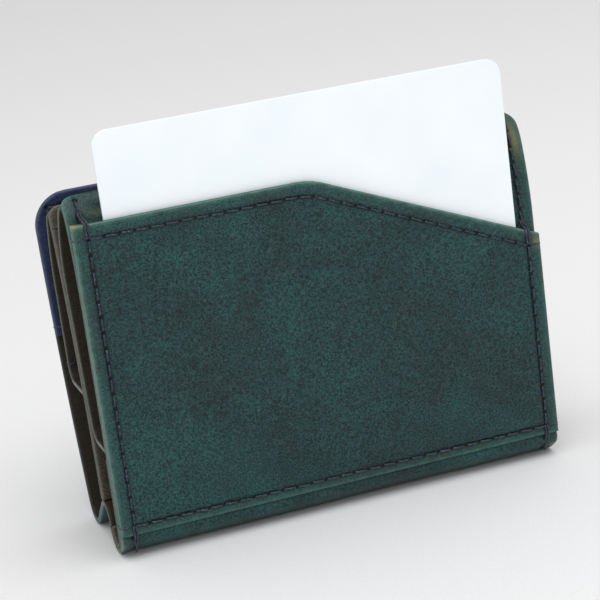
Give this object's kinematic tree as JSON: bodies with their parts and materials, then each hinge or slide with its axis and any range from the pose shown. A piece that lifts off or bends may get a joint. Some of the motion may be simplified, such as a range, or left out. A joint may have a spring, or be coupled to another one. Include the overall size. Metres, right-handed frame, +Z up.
{
  "type": "leather card case",
  "caption": "Leather card case with an outer slanted-top card pocket, a divider and a front cover on a W-shaped folded base, with a blank card half drawn from the pocket.",
  "frame": {"origin": "middle of the footprint, on the surface that the case stands on", "axes": "+X along the width, -Y out of the outer card pocket, +Y out of the front cover, +Z up"},
  "size_m": [0.097, 0.0421, 0.087],
  "materials": {
    "green_leather": "satin, fine grain, mottled teal green",
    "sleeve_leather": "satin, thin, fine grain",
    "raw_leather": "matt brown flesh side",
    "navy_lining": "satin navy",
    "thread": "waxed twisted thread, slate navy",
    "card_plastic": "smooth, near white"
  },
  "bodies": {
    "spine": {"spine_fold": "green_leather", "spine_liner": "raw_leather", "left_fold_thread": "thread", "right_fold_thread": "thread"},
    "back": {"back_wall": "green_leather", "back_liner": "raw_leather", "back_pocket": "green_leather", "inner_sleeve": "sleeve_leather", "pocket_top_thread": "thread", "pocket_base_thread": "thread", "left_side_thread": "thread", "right_side_thread": "thread", "left_wall_thread": "thread", "right_wall_thread": "thread"},
    "divider": {"middle_wall": "raw_leather", "middle_facing": "green_leather", "middle_sleeve": "sleeve_leather", "divider_top_thread": "thread", "middle_sleeve_thread": "thread"},
    "cover": {"front_cover": "green_leather", "cover_lining": "navy_lining", "cover_top_thread": "thread", "cover_lining_thread": "thread", "left_cover_thread": "thread", "right_cover_thread": "thread"},
    "card": {"card": "card_plastic"}
  },
  "joints": [
    {"name": "back_hinge", "type": "hinge", "parent": "spine", "child": "back", "pos_m": [0, -0.01865, 0.0051], "axis": [1, 0, 0], "range_deg": [0, 90]},
    {"name": "divider_hinge", "type": "hinge", "parent": "spine", "child": "divider", "pos_m": [0, -0.00565, 0.0094], "axis": [-1, 0, 0], "range_deg": [-1, 4]},
    {"name": "cover_hinge", "type": "hinge", "parent": "spine", "child": "cover", "pos_m": [0, 0.01006, 0.00348], "axis": [-1, 0, 0], "range_deg": [-5, 84]},
    {"name": "card_slide", "type": "slide", "parent": "back", "child": "card", "axis": [0, 0, 1], "range_m": [-0.0243, 0.032]}
  ]
}
